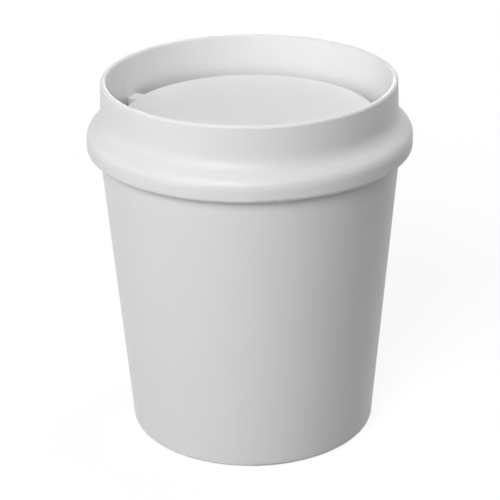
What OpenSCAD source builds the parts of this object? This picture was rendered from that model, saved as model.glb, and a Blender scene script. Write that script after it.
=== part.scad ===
// Travel tumbler: a plain tapered drinking cup with a screw-on lid.
// The lid has a raised drinking collar and, sunk inside it, a round press button with a gap all
// around it to drink from. Pressing the button lowers a valve under it, and its latch holds it there.
// Z is up, the origin is the middle of the foot, and lengths are in millimetres.

/* [Cup] */
// Diameter of the cup at the foot
foot_d = 65.6; // [62:0.2:70]
// Diameter of the cup's side just under the lid
shoulder_d = 78; // [77.6:0.1:78.4]
// Height of the shoulder under the lid
shoulder_h = 77.4; // [60:0.1:120]
// Thickness of the side wall, measured across
cup_wall = 2.1; // [1.9:0.1:2.2]
// Thickness of the floor over the foot recess
cup_floor = 1.8; // [1.5:0.1:4]
// Rounding of the outer edge of the foot
foot_round = 0.9; // [0.5:0.1:2]
// Rounding between the floor and the wall inside
inner_round = 5; // [2:0.5:12]
// Width of the ring that the cup stands on
foot_ring = 3; // [2:0.5:8]
// Depth of the recess inside that ring
foot_recess = 0.8; // [0.4:0.1:2]

/* [Neck] */
// Width of the shoulder, from the side wall in to the root of the neck's thread
shoulder_w = 0.45; // [0.4:0.05:0.6]
// Height of the neck above the shoulder
neck_h = 5.2; // [4.8:0.1:5.6]
// Rounding of the neck's rim
rim_round = 0.5; // [0.3:0.05:0.55]

/* [Lid skirt] */
// Gap between the shoulder and the lid
skirt_gap = 0.5; // [0.3:0.1:0.8]
// Thickness of the skirt
skirt_wall = 2.45; // [2:0.05:3.4]
// Height of the upright side of the skirt
skirt_h = 4.6; // [4.2:0.1:5.4]
// Rounding of the skirt's lower edge
skirt_edge = 1; // [0.5:0.1:1.2]
// Slope of the flank above the skirt, from upright
flank_angle = 42.3; // [40:0.1:45]
// Rounding between the skirt and its flank
skirt_round = 3.8; // [2:0.1:4.5]
// Room for the thread between the neck and the skirt
thread_room = 1.2; // [1.1:0.05:1.3]

/* [Drinking collar] */
// How much further out the collar's side is at its foot than at the lip
collar_flare = 0.42; // [0.2:0.02:0.7]
// Height of the collar above its foot
collar_h = 9.4; // [8:0.1:14]
// Rounding of the hollow between the flank and the collar
collar_round = 5.4; // [3:0.1:6]
// Thickness of the lip
lip_wall = 1.36; // [1.3:0.02:1.6]
// Rounding of the lip
lip_round = 0.62; // [0.3:0.02:0.68]
// Depth of the button below the lip
well_depth = 10.2; // [8:0.1:11]

/* [Plug and valve seat] */
// Thickness of the plug wall
plug_wall = 1.4; // [1.3:0.05:1.8]
// Depth of the plug wall below the rim
plug_depth = 8.6; // [8:0.1:12]
// Gap between the plug wall and the inside of the cup
plug_gap = 0.3; // [0.25:0.05:0.4]
// Width of the sloping valve seat at the end of the plug wall
seat_w = 0.8; // [0.6:0.05:0.9]

/* [Button] */
// Width of the drinking gap around the button
drink_gap = 2.85; // [2.5:0.05:3.5]
// Thickness of the button's disc
disc_t = 2; // [1.6:0.1:2.4]
// Rounding of the disc's upper edge
disc_round = 0.4; // [0.2:0.05:0.8]
// Travel of the button when it is pressed
press_travel = 3; // [2:0.1:3.2]
// Diameter of the button's stem
stem_d = 10; // [9:0.1:10.4]
// Wall of the hollow stem
stem_wall = 1.5; // [1.2:0.1:2]
// Number of guide lugs on the disc
lug_count = 2; // [1:1:6]
// Direction of the first lug
lug_first = 152; // [90:1:180]
// Width of a lug
lug_w = 4.2; // [2:0.1:8]

/* [Hub] */
// Number of arms that hold the hub
arm_count = 4; // [3:1:6]
// Width of the arms
arm_w = 2.4; // [1.6:0.1:3]
// Height of the arms
arm_t = 3; // [2:0.1:3]
// Room between the arms and the button when it is pressed
arm_room = 0.5; // [0.3:0.1:0.8]
// Wall of the hub
hub_wall = 1.6; // [1.2:0.1:2.4]
// Thickness of the hub's floor
hub_floor = 1.2; // [1:0.1:1.3]
// Room inside the hub around the stem
hub_room = 3.2; // [3:0.1:3.6]

/* [Valve] */
// Thickness of the valve plate
valve_t = 2; // [1.9:0.1:3]
// Gap between the seat's edge and the valve plate
valve_edge_gap = 0.73; // [0.65:0.02:0.8]
// Height between the valve plate and the hub
valve_hub_gap = 0.8; // [0.6:0.1:1]
// Height between the plug wall's end and the valve plate
valve_drop = 0.4; // [0.3:0.05:0.6]
// Depth of the seal groove in the valve's edge
groove_depth = 0.8; // [0.6:0.05:1.2]
// Height of the seal groove
groove_h = 1.1; // [0.9:0.05:1.2]
// Thickness of the plate over the groove
groove_lip = 0.5; // [0.4:0.05:0.6]
// Wall of the socket that holds the stem
socket_wall = 3; // [2:0.1:4]
// Thickness of the socket's floor
socket_floor = 1.2; // [1:0.1:2]
// Depth to which the stem goes below the valve plate
stem_depth = 1; // [0.6:0.1:2]

/* [Gasket, latch and spring] */
// Step between the bore for the thread and the gasket's seat
gasket_step = 0.5; // [0.3:0.05:0.7]
// Thickness of the gasket over the rim
gasket_t = 1.2; // [1:0.05:1.3]
// Thickness of the latch ring below its teeth
latch_t = 1.4; // [1:0.1:1.5]
// Height of the latch teeth
latch_tooth = 0.8; // [0.4:0.1:1]
// Number of latch teeth
latch_teeth = 8; // [6:1:12]
// Width of the latch teeth across the ring
tooth_w = 1; // [0.8:0.05:1.1]
// Room between the stem and the spring
spring_room = 0.75; // [0.5:0.05:0.9]
// Wire of the spring
wire_d = 0.8; // [0.6:0.05:0.8]
// Number of turns in the spring
spring_turns = 3.5; // [3:0.5:3.5]

/* [Hidden] */
$fn = 96;

// Clearances: seals and flat seats, parts that slide, and parts that pass each other
touch = 0.05;
slide = 0.08;
pass = 0.15;
white = [0.93, 0.93, 0.93];
silicone = [0.86, 0.87, 0.88];
steel = [0.7, 0.71, 0.73];

// Slope of the cup's side, which the inside, the plug wall and the lid's inner wall follow
foot_r = foot_d / 2;
shoulder_r = shoulder_d / 2;
side_slope = (shoulder_r - foot_r) / shoulder_h;
floor_z = foot_recess + cup_floor;
function side_r(z) = foot_r + side_slope * z;
function inside_r(z) = side_r(z) - cup_wall;

neck_r = shoulder_r - shoulder_w;
rim_z = shoulder_h + neck_h;

// Inside of the lid, where the plug wall goes on up as the collar
function plug(z) = inside_r(z) - plug_gap;
function well(z) = plug(z) - plug_wall;

// Skirt, flank and collar
lid_z = shoulder_h + skirt_gap;
bore_r = neck_r + thread_room;
skirt_r = bore_r + skirt_wall;
skirt_z = lid_z + skirt_h;
flank_w = skirt_r - well(skirt_z + collar_h) - lip_wall - collar_flare;
flank_h = flank_w / (tan(flank_angle) + side_slope);
collar_z = skirt_z + flank_h;
lip_z = collar_z + collar_h;
lip_r = well(lip_z) + lip_wall;
collar_r = lip_r + collar_flare;

// Levels inside the lid
disc_z = lip_z - well_depth;
disc_under = disc_z - disc_t;
plug_z = rim_z - plug_depth;
ledge_z = rim_z + gasket_t + 2 * touch;
ledge_r = bore_r - gasket_step;

// Button, its lugs and the grooves they run in
disc_r = well(disc_z) - drink_gap;
lug_r = well(disc_under);
lug_groove_r = lug_r + pass;
stem_r = stem_d / 2;

// Hub and arms, which stay clear of the pressed button
arm_top = disc_under - press_travel - arm_room;
arm_z = arm_top - arm_t;
valve_z = plug_z - valve_drop;
hub_z = valve_z + valve_hub_gap;
hub_seat = hub_z + hub_floor;
hub_bore_r = stem_r + hub_room;
hub_r = hub_bore_r + hub_wall;

// Valve and its seal, whose sloping face lies just under the seat
valve_r = well(plug_z) - valve_edge_gap;
groove_r = valve_r - groove_depth;
groove_z = valve_z - groove_lip - groove_h;
seat_r = well(plug_z) + seat_w;
seal_r = seat_r - 2 * touch;
stem_z = valve_z - valve_t - stem_depth;

// Spring between the latch ring and the button
latch_z = hub_seat + latch_t;
latch_r = hub_bore_r - pass;
tube_z = latch_z + press_travel + 2 * pass;
spring_r = stem_r + spring_room + wire_d / 2;
spring_low = latch_z + wire_d / 2 + touch;
spring_high = disc_under - wire_d / 2 - touch;

function unit(v) = v / norm(v);
function wrap(list, i) = list[(i + len(list)) % len(list)];
function spot(corner) = [corner[0], corner[1]];
function ahead(corners, i) = unit(spot(wrap(corners, i + 1)) - spot(corners[i]));
function behind(corners, i) = unit(spot(wrap(corners, i - 1)) - spot(corners[i]));
function half_angle(corners, i) = acos(ahead(corners, i) * behind(corners, i)) / 2;
function reach(corners, i) = corners[i][2] / tan(half_angle(corners, i));
function bends_out(corners, i) = cross(-behind(corners, i), ahead(corners, i)) > 0;
function middle(corners, i) =
    spot(corners[i])
    + unit(ahead(corners, i) + behind(corners, i)) * corners[i][2] / sin(half_angle(corners, i));

// Points where the rounding of a corner begins and ends
function rounding_ends(corners, i) = [
    spot(corners[i]) + behind(corners, i) * reach(corners, i),
    spot(corners[i]) + ahead(corners, i) * reach(corners, i)
];

// Part of the rounding's circle that lies by the corner
module corner_round(corners, i) {
    inward = middle(corners, i) - spot(corners[i]);
    ends = rounding_ends(corners, i);
    intersection() {
        translate(middle(corners, i))
            circle(corners[i][2]);
        polygon([
            ends[0],
            spot(corners[i]),
            ends[1],
            spot(corners[i]) + inward * (pow(cos(half_angle(corners, i)), 2) + 0.25)
        ]);
    }
}

// Half section whose corners are [radius, height, rounding], in anticlockwise order
module section(corners) {
    difference() {
        union() {
            polygon([
                for (i = [0 : len(corners) - 1])
                    each corners[i][2] == 0 ? [spot(corners[i])] : rounding_ends(corners, i)
            ]);
            for (i = [0 : len(corners) - 1])
                if (corners[i][2] > 0 && bends_out(corners, i))
                    corner_round(corners, i);
        }
        for (i = [0 : len(corners) - 1])
            if (corners[i][2] > 0 && !bends_out(corners, i))
                corner_round(corners, i);
    }
}

// Body turned from a section
module turned(corners) {
    rotate_extrude()
        section(corners);
}

// Copies round the axis, the first of them at the first lug
module around(count) {
    for (i = [0 : count - 1])
        rotate([0, 0, lug_first + i * 360 / count])
            children();
}

// Moulded cup: foot ring, tapered side, shoulder and thin neck, with one straight cone inside
module cup() {
    color(white)
        difference() {
            turned([
                [0, 0, 0],
                [foot_r, 0, foot_round],
                [shoulder_r, shoulder_h, 0.3],
                [neck_r, shoulder_h, 0],
                [neck_r, rim_z, rim_round],
                [inside_r(rim_z), rim_z, rim_round],
                [inside_r(floor_z), floor_z, inner_round],
                [0, floor_z, 0]
            ]);
            translate([0, 0, -1])
                cylinder(h = foot_recess + 1, r = foot_r - foot_ring);
        }
}

// Flat silicone ring that lies over the rim, under the lid's ledge
module rim_gasket() {
    color(silicone)
        turned([
            [plug(ledge_z) + touch, rim_z + touch, 0],
            [ledge_r - touch, rim_z + touch, 0.2],
            [ledge_r - touch, ledge_z - touch, 0.2],
            [plug(ledge_z) + touch, ledge_z - touch, 0]
        ]);
}

// Skirt, flank, drinking collar and plug wall of the lid as one ring
module lid_ring() {
    turned([
        [bore_r, lid_z, 0.3],
        [skirt_r, lid_z, skirt_edge],
        [skirt_r, skirt_z, skirt_round],
        [collar_r, collar_z, collar_round],
        [lip_r, lip_z, lip_round],
        [lip_r - lip_wall, lip_z, lip_round],
        [well(plug_z + seat_w), plug_z + seat_w, 0],
        [seat_r, plug_z, 0],
        [plug(plug_z), plug_z, 0.2],
        [plug(ledge_z), ledge_z, 0],
        [ledge_r, ledge_z, 0.3],
        [ledge_r, ledge_z - gasket_t, 0],
        [bore_r, ledge_z - gasket_t - gasket_step, 0]
    ]);
}

// Lid moulding: the ring, and inside it four arms that carry the button's hub
module lid_body() {
    color(white)
        difference() {
            union() {
                lid_ring();
                translate([0, 0, hub_z])
                    cylinder(h = arm_top - hub_z, r = hub_r);
                around(arm_count)
                    translate([stem_r + slide, -arm_w / 2, arm_z])
                        cube([well(arm_z) + plug_wall / 2 - stem_r - slide, arm_w, arm_t]);
            }
            translate([0, 0, hub_seat])
                cylinder(h = arm_top, r = hub_bore_r);
            translate([0, 0, hub_z - 1])
                cylinder(h = hub_floor + 2, r = stem_r + slide);
            around(lug_count)
                intersection() {
                    translate([disc_r, -lug_w / 2 - pass, arm_top])
                        cube([drink_gap + 1, lug_w + 2 * pass, disc_z - arm_top + 0.2]);
                    cylinder(h = lip_z, r = lug_groove_r);
                }
        }
}

// Ramped gaps that leave saw teeth: above the ramps (side = 1) or below them (side = -1)
module saw_gaps(side) {
    pitch = 360 / latch_teeth;
    run = (latch_r - tooth_w / 2) * sin(pitch);
    for (i = [0 : latch_teeth - 1])
        rotate([0, 0, i * pitch])
            intersection() {
                rotate([90, 0, 90])
                    linear_extrude(2 * latch_r)
                        polygon([[0, 0], [2 * run, 2 * latch_tooth], [2 * run, 3 * side], [0, 3 * side]]);
                translate([0, 0, -3])
                    linear_extrude(6)
                        polygon([[0, 0], [3 * latch_r, 0], [3 * latch_r * cos(pitch), 3 * latch_r * sin(pitch)]]);
            }
}

// Toothed ring on the hub's floor, which turns a step and catches the button at each press
module latch_ring() {
    color(white)
        difference() {
            translate([0, 0, hub_seat])
                cylinder(h = latch_t + latch_tooth, r = latch_r);
            translate([0, 0, hub_seat - 1])
                cylinder(h = latch_t + 3, r = stem_r + pass);
            translate([0, 0, latch_z])
                cylinder(h = latch_tooth + 1, r = latch_r - tooth_w);
            translate([0, 0, latch_z])
                saw_gaps(1);
        }
}

// Compression spring: rings of points swept along the helix
module spring() {
    sides = 8;
    steps = round(spring_turns * 20);
    wire = wire_d / 2;
    points = [
        for (i = [0 : steps], k = [0 : sides - 1])
            let (
                turn = 360 * spring_turns * i / steps,
                around = 360 * k / sides,
                r = spring_r + wire * cos(around)
            )
            [r * cos(turn), r * sin(turn), spring_low + (spring_high - spring_low) * i / steps + wire * sin(around)]
    ];
    walls = [
        for (i = [0 : steps - 1], k = [0 : sides - 1])
            let (a = i * sides + k, b = i * sides + (k + 1) % sides)
            [a, a + sides, b + sides, b]
    ];
    color(steel)
        polyhedron(
            points,
            concat(
                [[for (k = [0 : sides - 1]) k]],
                walls,
                [[for (k = [sides - 1 : -1 : 0]) steps * sides + k]]
            )
        );
}

// Tube under the button whose saw teeth press on those of the latch ring
module latch_tube() {
    difference() {
        cylinder(h = disc_under - tube_z + disc_t / 2, r = latch_r);
        translate([0, 0, -1])
            cylinder(h = disc_under - tube_z + 1, r = latch_r - tooth_w);
        rotate([0, 0, 2])
            saw_gaps(-1);
    }
}

module disc(r) {
    turned([
        [0, disc_under, 0],
        [r, disc_under, 0],
        [r, disc_z, disc_round],
        [0, disc_z, 0]
    ]);
}

// Lug that bridges the drinking gap, with the disc's rounding along its sides and end
module lug() {
    intersection() {
        disc(lug_r);
        translate([disc_r - 2 * disc_round, 0, 0])
            rotate([90, 0, 90])
                linear_extrude(drink_gap + 2)
                    section([
                        [-lug_w / 2, disc_under, 0],
                        [lug_w / 2, disc_under, 0],
                        [lug_w / 2, disc_z, disc_round],
                        [-lug_w / 2, disc_z, disc_round]
                    ]);
    }
}

// Press button: flat disc with guide lugs on its edge, a hollow stem and the latch's tube
module button() {
    color(white)
        difference() {
            union() {
                disc(disc_r);
                around(lug_count)
                    lug();
                translate([0, 0, stem_z])
                    cylinder(h = disc_under - stem_z + disc_t / 2, r = stem_r);
                translate([0, 0, tube_z])
                    latch_tube();
            }
            translate([0, 0, stem_z - 1])
                cylinder(h = disc_under - stem_z + 1, r = stem_r - stem_wall);
        }
}

// Valve plate on the end of the stem, with a groove for its seal
module valve() {
    low = valve_z - valve_t;
    socket_r = stem_r + socket_wall;
    color(white)
        difference() {
            turned([
                [0, stem_z - socket_floor, 0],
                [socket_r, stem_z - socket_floor, 0.6],
                [socket_r, low, 0.6],
                [valve_r, low, 0.2],
                [valve_r, groove_z, 0],
                [groove_r, groove_z, 0],
                [groove_r, groove_z + groove_h, 0],
                [valve_r, groove_z + groove_h, 0],
                [valve_r, valve_z, 0],
                [0, valve_z, 0]
            ]);
            translate([0, 0, stem_z])
                cylinder(h = valve_t + stem_depth + 1, r = stem_r + touch);
        }
}

// Silicone ring in the valve's groove, with a lip that rises to the seat
module valve_seal() {
    color(silicone)
        turned([
            [groove_r + touch, groove_z + touch, 0],
            [valve_r + 0.7, groove_z + touch, 0],
            [seal_r, plug_z - 1, 0],
            [seal_r, plug_z, 0],
            [seal_r - seat_w + 0.1, plug_z + seat_w - 0.1, 0],
            [valve_r + 0.1, plug_z + 0.2, 0],
            [valve_r + 0.1, groove_z + groove_h - touch, 0],
            [groove_r + touch, groove_z + groove_h - touch, 0]
        ]);
}

cup();
rim_gasket();
lid_body();
latch_ring();
spring();
button();
valve();
valve_seal();
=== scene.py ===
"""A travel tumbler with a screw-on press-to-open lid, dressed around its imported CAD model."""
import math

import bmesh
import bpy
from mathutils import Matrix, Vector


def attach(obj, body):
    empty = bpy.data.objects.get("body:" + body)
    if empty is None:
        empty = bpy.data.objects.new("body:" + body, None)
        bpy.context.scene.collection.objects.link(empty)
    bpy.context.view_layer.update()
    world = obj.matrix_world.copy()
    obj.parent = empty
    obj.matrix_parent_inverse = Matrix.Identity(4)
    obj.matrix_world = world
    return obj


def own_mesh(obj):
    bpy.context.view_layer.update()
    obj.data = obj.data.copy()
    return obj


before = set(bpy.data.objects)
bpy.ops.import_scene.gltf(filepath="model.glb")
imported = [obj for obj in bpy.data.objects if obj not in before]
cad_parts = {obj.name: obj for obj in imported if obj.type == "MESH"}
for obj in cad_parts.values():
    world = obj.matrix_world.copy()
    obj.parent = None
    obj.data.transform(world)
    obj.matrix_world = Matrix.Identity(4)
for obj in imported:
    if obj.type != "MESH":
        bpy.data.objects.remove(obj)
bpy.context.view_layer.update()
scene = bpy.context.scene
scene.view_settings.view_transform = "Standard"

# The camera stands where the photograph was taken from: about 46 cm from the middle of the
# tumbler, looking down at it by 24 degrees through a long lens. The three small turns were
# solved together with its place, from the outline of the rim, the skirt, the sides and the foot.
camera_data = bpy.data.cameras.new("camera")
camera_data.lens = 123.6
camera_data.sensor_width = 36.0
camera_data.clip_start = 0.01
camera = bpy.data.objects.new("camera", camera_data)
scene.collection.objects.link(camera)
scene.camera = camera
look_down = math.radians(23.773)
camera_back = Vector((0, -math.cos(look_down), math.sin(look_down)))
camera_target = Vector((0, 0, 0.048))
camera_distance = 0.4586
camera.matrix_world = (
    Matrix.Translation(camera_target + camera_back * camera_distance)
    @ Matrix.Rotation(math.radians(90) - look_down, 4, "X")
    @ Matrix.Rotation(math.radians(0.0388), 4, "Y")
    @ Matrix.Rotation(math.radians(-0.0642), 4, "X")
    @ Matrix.Rotation(math.radians(-0.6907), 4, "Z")
)


# The floor is a plain pale sheet of paper. It looks white to the camera, apart from the soft
# shadow that the tumbler leaves round its foot, and it throws back less light than it seems to.
class Signal:
    """An output of a node that takes part in Python sums, each of which adds a Math node."""

    def __init__(self, finish, socket):
        self.finish = finish
        self.socket = socket

    def __add__(self, other):
        return self.finish.add("ShaderNodeMath", {"operation": "ADD"}, {0: self, 1: other})

    def __mul__(self, other):
        return self.finish.add("ShaderNodeMath", {"operation": "MULTIPLY"}, {0: self, 1: other})

    __radd__ = __add__
    __rmul__ = __mul__


class Finish:
    """The nodes of one material, or of the room's light, added one by one."""

    def __init__(self, tree):
        self.tree = tree
        tree.nodes.clear()

    def add(self, kind, settings=None, sockets=None, output=0):
        """Adds a node, sets it up, fills or links its sockets, and returns one of its outputs."""
        node = self.tree.nodes.new(kind)
        for key, value in (settings or {}).items():
            setattr(node, key, value)
        for key, value in (sockets or {}).items():
            if isinstance(value, Signal):
                self.tree.links.new(value.socket, node.inputs[key])
            else:
                node.inputs[key].default_value = value
        return Signal(self, node.outputs[output]) if node.outputs else None

    def seen(self):
        """1 where a ray comes from the camera, or by way of a mirror or a glass, and 0 elsewhere."""
        return (
            self.add("ShaderNodeLightPath", output="Is Camera Ray")
            + self.add("ShaderNodeLightPath", output="Is Glossy Ray")
            + self.add("ShaderNodeLightPath", output="Is Transmission Ray")
        )


def grey(level):
    """An even grey as a colour."""
    return (level, level, level, 1)


floor_form = bmesh.new()
bmesh.ops.create_grid(floor_form, x_segments=1, y_segments=1, size=3.0)
floor_mesh = bpy.data.meshes.new("floor")
floor_form.to_mesh(floor_mesh)
floor_form.free()
floor = bpy.data.objects.new("floor", floor_mesh)
scene.collection.objects.link(floor)
paper = bpy.data.materials.new("paper")
paper.use_nodes = True
sheet = Finish(paper.node_tree)
sheet_lit = sheet.add("ShaderNodeBsdfDiffuse", None, {"Color": grey(0.35)})
sheet_white = sheet.add("ShaderNodeEmission", None, {"Strength": 1.0})
sheet_pale = sheet.add("ShaderNodeEmission", None, {"Strength": 0.79})
sheet_shade = sheet.add("ShaderNodeBsdfDiffuse", None, {"Color": grey(0.33)})
sheet_foot = sheet.add("ShaderNodeAddShader", None, {0: sheet_pale, 1: sheet_shade})
sheet_place = sheet.add("ShaderNodeTexCoord", output="Object")
sheet_reach = sheet.add(
    "ShaderNodeVectorMath", {"operation": "LENGTH"}, {0: sheet_place}, "Value"
)
sheet_near = sheet.add(
    "ShaderNodeMapRange",
    None,
    {"Value": sheet_reach, "From Min": 0.1, "From Max": 0.3, "To Min": 1.0, "To Max": 0.0},
)
sheet_seen = sheet.add(
    "ShaderNodeMixShader", None, {0: sheet_near, 1: sheet_white, 2: sheet_foot}
)
sheet_look = sheet.add(
    "ShaderNodeMixShader", None, {0: sheet.seen(), 1: sheet_lit, 2: sheet_seen}
)
sheet.add("ShaderNodeOutputMaterial", None, {"Surface": sheet_look})
floor_mesh.materials.append(paper)

# The room is white where the camera looks past the floor, and white in what a glossy face
# mirrors. It gives next to no light itself: that is left to the lamps.
world = bpy.data.worlds.new("room")
scene.world = world
world.use_nodes = True
room = Finish(world.node_tree)
room_light = room.add("ShaderNodeBackground", None, {"Color": grey(1), "Strength": 0.02})
room_white = room.add("ShaderNodeBackground", None, {"Color": grey(1), "Strength": 1.0})
room_look = room.add("ShaderNodeMixShader", None, {0: room.seen(), 1: room_light, 2: room_white})
room.add("ShaderNodeOutputWorld", None, {"Surface": room_look})

# Studio lamps with soft round screens, all aimed at the middle of the tumbler. The strong ones
# stand to the left of the camera, as the photograph's do, and two weak ones light the back.
lamp_aim = (0, 0, 0.05)
lamp_distance = 1.1
# name: degrees round from the camera, degrees up, width of the screen, power
lamps = {
    "key": (-20, 35, 0.5, 4.7),
    "key_left": (-50, 35, 0.5, 1.7),
    "key_right": (10, 35, 0.5, 1.1),
    "low_left": (-50, 10, 0.5, 1.15),
    "low_side": (-80, 10, 0.5, 0.75),
    "low_back": (-115, 10, 0.5, 0.55),
    "high": (130, 75, 0.5, 2.5),
    "high_back": (130, 60, 0.5, 0.65),
    "back": (130, 35, 0.5, 1.0),
    "behind": (180, 4, 0.3, 2.5),
}
for lamp_name, (around, up, width, power) in lamps.items():
    lamp_data = bpy.data.lights.new(lamp_name, "AREA")
    lamp_data.shape = "DISK"
    lamp_data.size = width
    lamp_data.energy = power
    lamp = bpy.data.objects.new(lamp_name, lamp_data)
    scene.collection.objects.link(lamp)
    lamp.matrix_world = (
        Matrix.Translation(lamp_aim)
        @ Matrix.Rotation(math.radians(around), 4, "Z")
        @ Matrix.Rotation(math.radians(90 - up), 4, "X")
        @ Matrix.Translation((0, 0, lamp_distance))
    )


# The cup is one moulding of white polypropylene. Its mould was spark eroded to an even, fine
# satin, and the melt's flow shows as a faint cloudiness in the gloss and in the pigment.
def moulded_plastic(name, white, roughness, grain):
    """White plastic with a mould's fine grain, of a depth in metres, and a cloudy gloss."""
    material = bpy.data.materials.new(name)
    material.use_nodes = True
    plastic = Finish(material.node_tree)
    place = plastic.add("ShaderNodeTexCoord", output="Object")
    pits = plastic.add(
        "ShaderNodeTexNoise",
        None,
        {"Vector": place, "Scale": 3200.0, "Detail": 3.0, "Roughness": 0.6},
    )
    cloud = plastic.add(
        "ShaderNodeTexNoise",
        None,
        {"Vector": place, "Scale": 70.0, "Detail": 4.0, "Roughness": 0.55},
    )
    colour = plastic.add(
        "ShaderNodeMix",
        {"data_type": "RGBA"},
        {"Factor": cloud, "A": grey(white - 0.012), "B": grey(white)},
        "Result",
    )
    relief = plastic.add(
        "ShaderNodeBump", None, {"Height": pits, "Strength": 1.0, "Distance": grain}
    )
    surface = plastic.add(
        "ShaderNodeBsdfPrincipled",
        None,
        {
            "Base Color": colour,
            "Roughness": roughness - 0.04 + 0.05 * cloud + 0.03 * pits,
            "Normal": relief,
            "IOR": 1.49,
            "Subsurface Weight": 0.5,
            "Subsurface Radius": (1.0, 1.0, 1.0),
            "Subsurface Scale": 0.0015,
        },
    )
    plastic.add("ShaderNodeOutputMaterial", None, {"Surface": surface})
    return material


def give(node_name, material):
    """Gives a node of the CAD model its material."""
    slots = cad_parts[node_name].data.materials
    slots.clear()
    slots.append(material)


cup_plastic = moulded_plastic("cup_plastic", 0.93, 0.36, 0.000004)
give("cup", cup_plastic)


# The neck's thread has three starts and a lead of 9 mm. Each ridge is moulded with the cup, runs
# a quarter of the way round, and rises from the neck and sinks into it again at its ends.
def thread(name, wall, crest, height, first, span, material):
    """Three ridges from a wall's radius to a crest's, from a height and a direction in degrees."""
    starts = 3
    lead = 0.009
    root_half = 0.00065
    crest_half = 0.00027
    crest_round = 0.00018
    run_out = 14
    steps = 48
    form = bmesh.new()
    section = ((wall, -root_half), (crest, -crest_half), (crest, crest_half), (wall, root_half))
    corners = [form.verts.new((radius, 0, height + z)) for radius, z in section]
    sides = [form.edges.new((corners[i], corners[(i + 1) % 4])) for i in range(4)]
    bmesh.ops.spin(
        form,
        geom=corners + sides,
        cent=(0, 0, 0),
        axis=(0, 0, 1),
        dvec=(0, 0, lead * span / 360 / steps),
        angle=math.radians(span),
        steps=steps,
    )
    ends = [edge for edge in form.edges if edge.is_boundary]
    bmesh.ops.holes_fill(form, edges=ends, sides=4)
    bmesh.ops.recalc_face_normals(form, faces=form.faces)
    along_crest = []
    for edge in form.edges:
        a, b = (vertex.co for vertex in edge.verts)
        on_crest = all(abs(math.hypot(co.x, co.y) - crest) < 1e-6 for co in (a, b))
        if on_crest and abs(a.y * b.x - a.x * b.y) > 1e-7:
            along_crest.append(edge)
    bmesh.ops.bevel(
        form,
        geom=along_crest,
        offset=crest_round,
        segments=3,
        affect="EDGES",
        profile=0.5,
        material=-1,
    )
    for vertex in form.verts:
        radius = math.hypot(vertex.co.x, vertex.co.y)
        angle = math.degrees(math.atan2(vertex.co.y, vertex.co.x))
        end = min(1.0, max(0.0, min(angle, span - angle) / run_out))
        rise = wall + (radius - wall) * end * end * (3 - 2 * end)
        vertex.co.x *= rise / radius
        vertex.co.y *= rise / radius
    bmesh.ops.rotate(
        form,
        verts=form.verts,
        cent=(0, 0, 0),
        matrix=Matrix.Rotation(math.radians(first), 3, "Z"),
    )
    bmesh.ops.spin(
        form,
        geom=form.verts[:] + form.edges[:] + form.faces[:],
        cent=(0, 0, 0),
        axis=(0, 0, 1),
        angle=math.radians(360 - 360 / starts),
        steps=starts - 1,
        use_duplicate=True,
    )
    mesh = bpy.data.meshes.new(name)
    form.to_mesh(mesh)
    form.free()
    mesh.shade_smooth()
    mesh.set_sharp_from_angle(angle=math.radians(50))
    mesh.materials.append(material)
    ridges = bpy.data.objects.new(name, mesh)
    scene.collection.objects.link(ridges)
    return ridges


neck_thread = thread("cup_thread", 0.0384, 0.0395, 0.0792, 0, 88, cup_plastic)
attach(neck_thread, "cup")

# Under the foot, where the melt came in, the gate left a flat button with a broken nib. It is
# part of the cup's moulding and stays clear of the table, inside the recess.
gate_form = bmesh.new()
nib = ((0, 0.00041), (0.0004, 0.00041), (0.0007, 0.00066))
pad = ((0.0021, 0.0007), (0.0024, 0.00084), (0, 0.00084))
points = [gate_form.verts.new((radius, 0, height)) for radius, height in nib + pad]
lines = [gate_form.edges.new(pair) for pair in zip(points, points[1:])]
bmesh.ops.spin(
    gate_form,
    geom=points + lines,
    cent=(0, 0, 0),
    axis=(0, 0, 1),
    angle=math.radians(360),
    steps=32,
    use_merge=True,
)
bmesh.ops.remove_doubles(gate_form, verts=gate_form.verts, dist=1e-7)
bmesh.ops.recalc_face_normals(gate_form, faces=gate_form.faces)
gate_mesh = bpy.data.meshes.new("gate_mark")
gate_form.to_mesh(gate_mesh)
gate_form.free()
gate_mesh.shade_smooth()
gate_mesh.set_sharp_from_angle(angle=math.radians(30))
gate_mesh.materials.append(cup_plastic)
gate_mark = bpy.data.objects.new("gate_mark", gate_mesh)
scene.collection.objects.link(gate_mark)
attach(gate_mark, "cup")

# The gasket over the rim and the seal round the valve are moulded of clear silicone with a little
# white in it: soft, waxy to look at, and faintly streaked by the press that they came from.
seal_silicone = bpy.data.materials.new("seal_silicone")
seal_silicone.use_nodes = True
rubber = Finish(seal_silicone.node_tree)
rubber_place = rubber.add("ShaderNodeTexCoord", output="Object")
rubber_haze = rubber.add(
    "ShaderNodeTexNoise",
    None,
    {"Vector": rubber_place, "Scale": 240.0, "Detail": 3.0, "Roughness": 0.5},
)
rubber_dust = rubber.add(
    "ShaderNodeTexNoise",
    None,
    {"Vector": rubber_place, "Scale": 1800.0, "Detail": 2.0, "Roughness": 0.6},
)
rubber_colour = rubber.add(
    "ShaderNodeMix",
    {"data_type": "RGBA"},
    {"Factor": rubber_haze, "A": (0.66, 0.67, 0.68, 1), "B": (0.74, 0.75, 0.755, 1)},
    "Result",
)
rubber_relief = rubber.add(
    "ShaderNodeBump", None, {"Height": rubber_dust, "Strength": 1.0, "Distance": 0.000006}
)
rubber_surface = rubber.add(
    "ShaderNodeBsdfPrincipled",
    None,
    {
        "Base Color": rubber_colour,
        "Roughness": 0.38 + 0.2 * rubber_dust,
        "Normal": rubber_relief,
        "IOR": 1.41,
        "Subsurface Weight": 0.6,
        "Subsurface Radius": (1.0, 1.0, 1.0),
        "Subsurface Scale": 0.002,
    },
)
rubber.add("ShaderNodeOutputMaterial", None, {"Surface": rubber_surface})
give("rim_gasket", seal_silicone)
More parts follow.
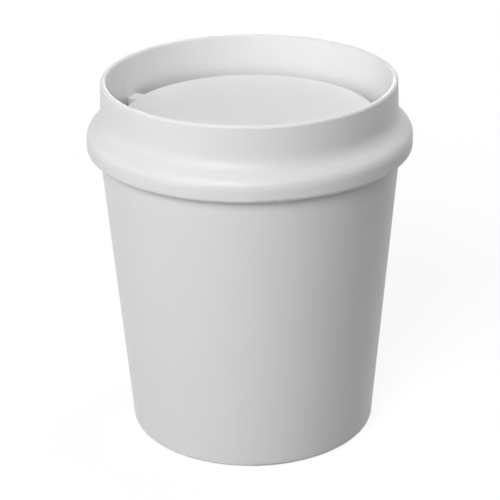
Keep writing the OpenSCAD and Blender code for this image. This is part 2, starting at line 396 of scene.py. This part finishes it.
give("valve_seal", seal_silicone)

# The lid is moulded in one with its skirt, flank, drinking collar, plug wall, arms and hub, from
# the same white plastic as the cup. Inside the skirt run the ridges that catch the neck's.
lid_plastic = moulded_plastic("lid_plastic", 0.93, 0.38, 0.000004)
give("lid_body", lid_plastic)
skirt_thread = thread("lid_thread", 0.0399, 0.0388, 0.0786, 10, 90, lid_plastic)
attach(skirt_thread, "lid")

# The press button is a flat disc on a hollow stem, with two lugs that run in the collar's wall.
# Its face is a shade duller than the lid, as a face is that fingers press.
button_plastic = moulded_plastic("button_plastic", 0.92, 0.42, 0.000005)
give("button", button_plastic)

# The valve plate and the latch ring are small mouldings of the same plastic from a polished
# mould, so they shine a little more. The plate is fixed on the stem, the ring snaps into the hub.
inner_plastic = moulded_plastic("inner_plastic", 0.9, 0.24, 0.000002)
give("valve", inner_plastic)
give("latch_ring", inner_plastic)

# The return spring is wound from bright drawn steel wire. It stands on the latch ring, so its
# foot stays where it is while the button comes down by 3 mm and shortens it.
spring_steel = bpy.data.materials.new("spring_steel")
spring_steel.use_nodes = True
wire = Finish(spring_steel.node_tree)
wire_place = wire.add("ShaderNodeTexCoord", output="Object")
wire_lines = wire.add(
    "ShaderNodeTexNoise",
    None,
    {"Vector": wire_place, "Scale": 1500.0, "Detail": 3.0, "Roughness": 0.7},
)
wire_relief = wire.add(
    "ShaderNodeBump", None, {"Height": wire_lines, "Strength": 1.0, "Distance": 0.000004}
)
wire_colour = wire.add(
    "ShaderNodeMix",
    {"data_type": "RGBA"},
    {"Factor": wire_lines, "A": (0.5, 0.5, 0.52, 1), "B": (0.66, 0.66, 0.67, 1)},
    "Result",
)
wire_surface = wire.add(
    "ShaderNodeBsdfPrincipled",
    None,
    {
        "Base Color": wire_colour,
        "Metallic": 1.0,
        "Roughness": 0.2 + 0.2 * wire_lines,
        "Normal": wire_relief,
    },
)
wire.add("ShaderNodeOutputMaterial", None, {"Surface": wire_surface})
give("spring", spring_steel)
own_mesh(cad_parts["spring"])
